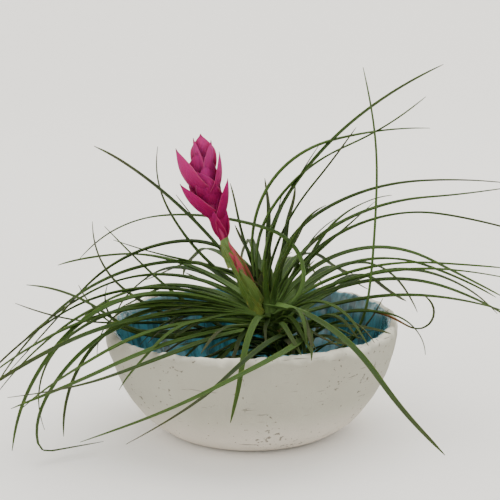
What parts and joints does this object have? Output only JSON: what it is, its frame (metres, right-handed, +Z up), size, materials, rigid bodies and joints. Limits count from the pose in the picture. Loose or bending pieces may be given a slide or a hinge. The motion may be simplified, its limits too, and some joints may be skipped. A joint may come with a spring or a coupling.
{
  "type": "flowering air plant in a bowl",
  "caption": "Narrow-leaved rosette plant with one pink flower head, leaning in a hand-built clay bowl with a glazed inside.",
  "frame": {"origin": "centre of the bowl's foot, on the surface that it stands on", "axes": "+Z up, -Y towards the picture's viewer, +X to the viewer's right"},
  "size_m": [0.3177, 0.3105, 0.2094],
  "materials": {
    "bowl_clay": null,
    "green_leaf": null,
    "stalk_bract": null,
    "pink_bract": null
  },
  "bodies": {
    "root": {"bowl": "bowl_clay", "leafy_stem": "green_leaf", "flower_stalk": "stalk_bract", "flower_head": "pink_bract"}
  },
  "joints": []
}
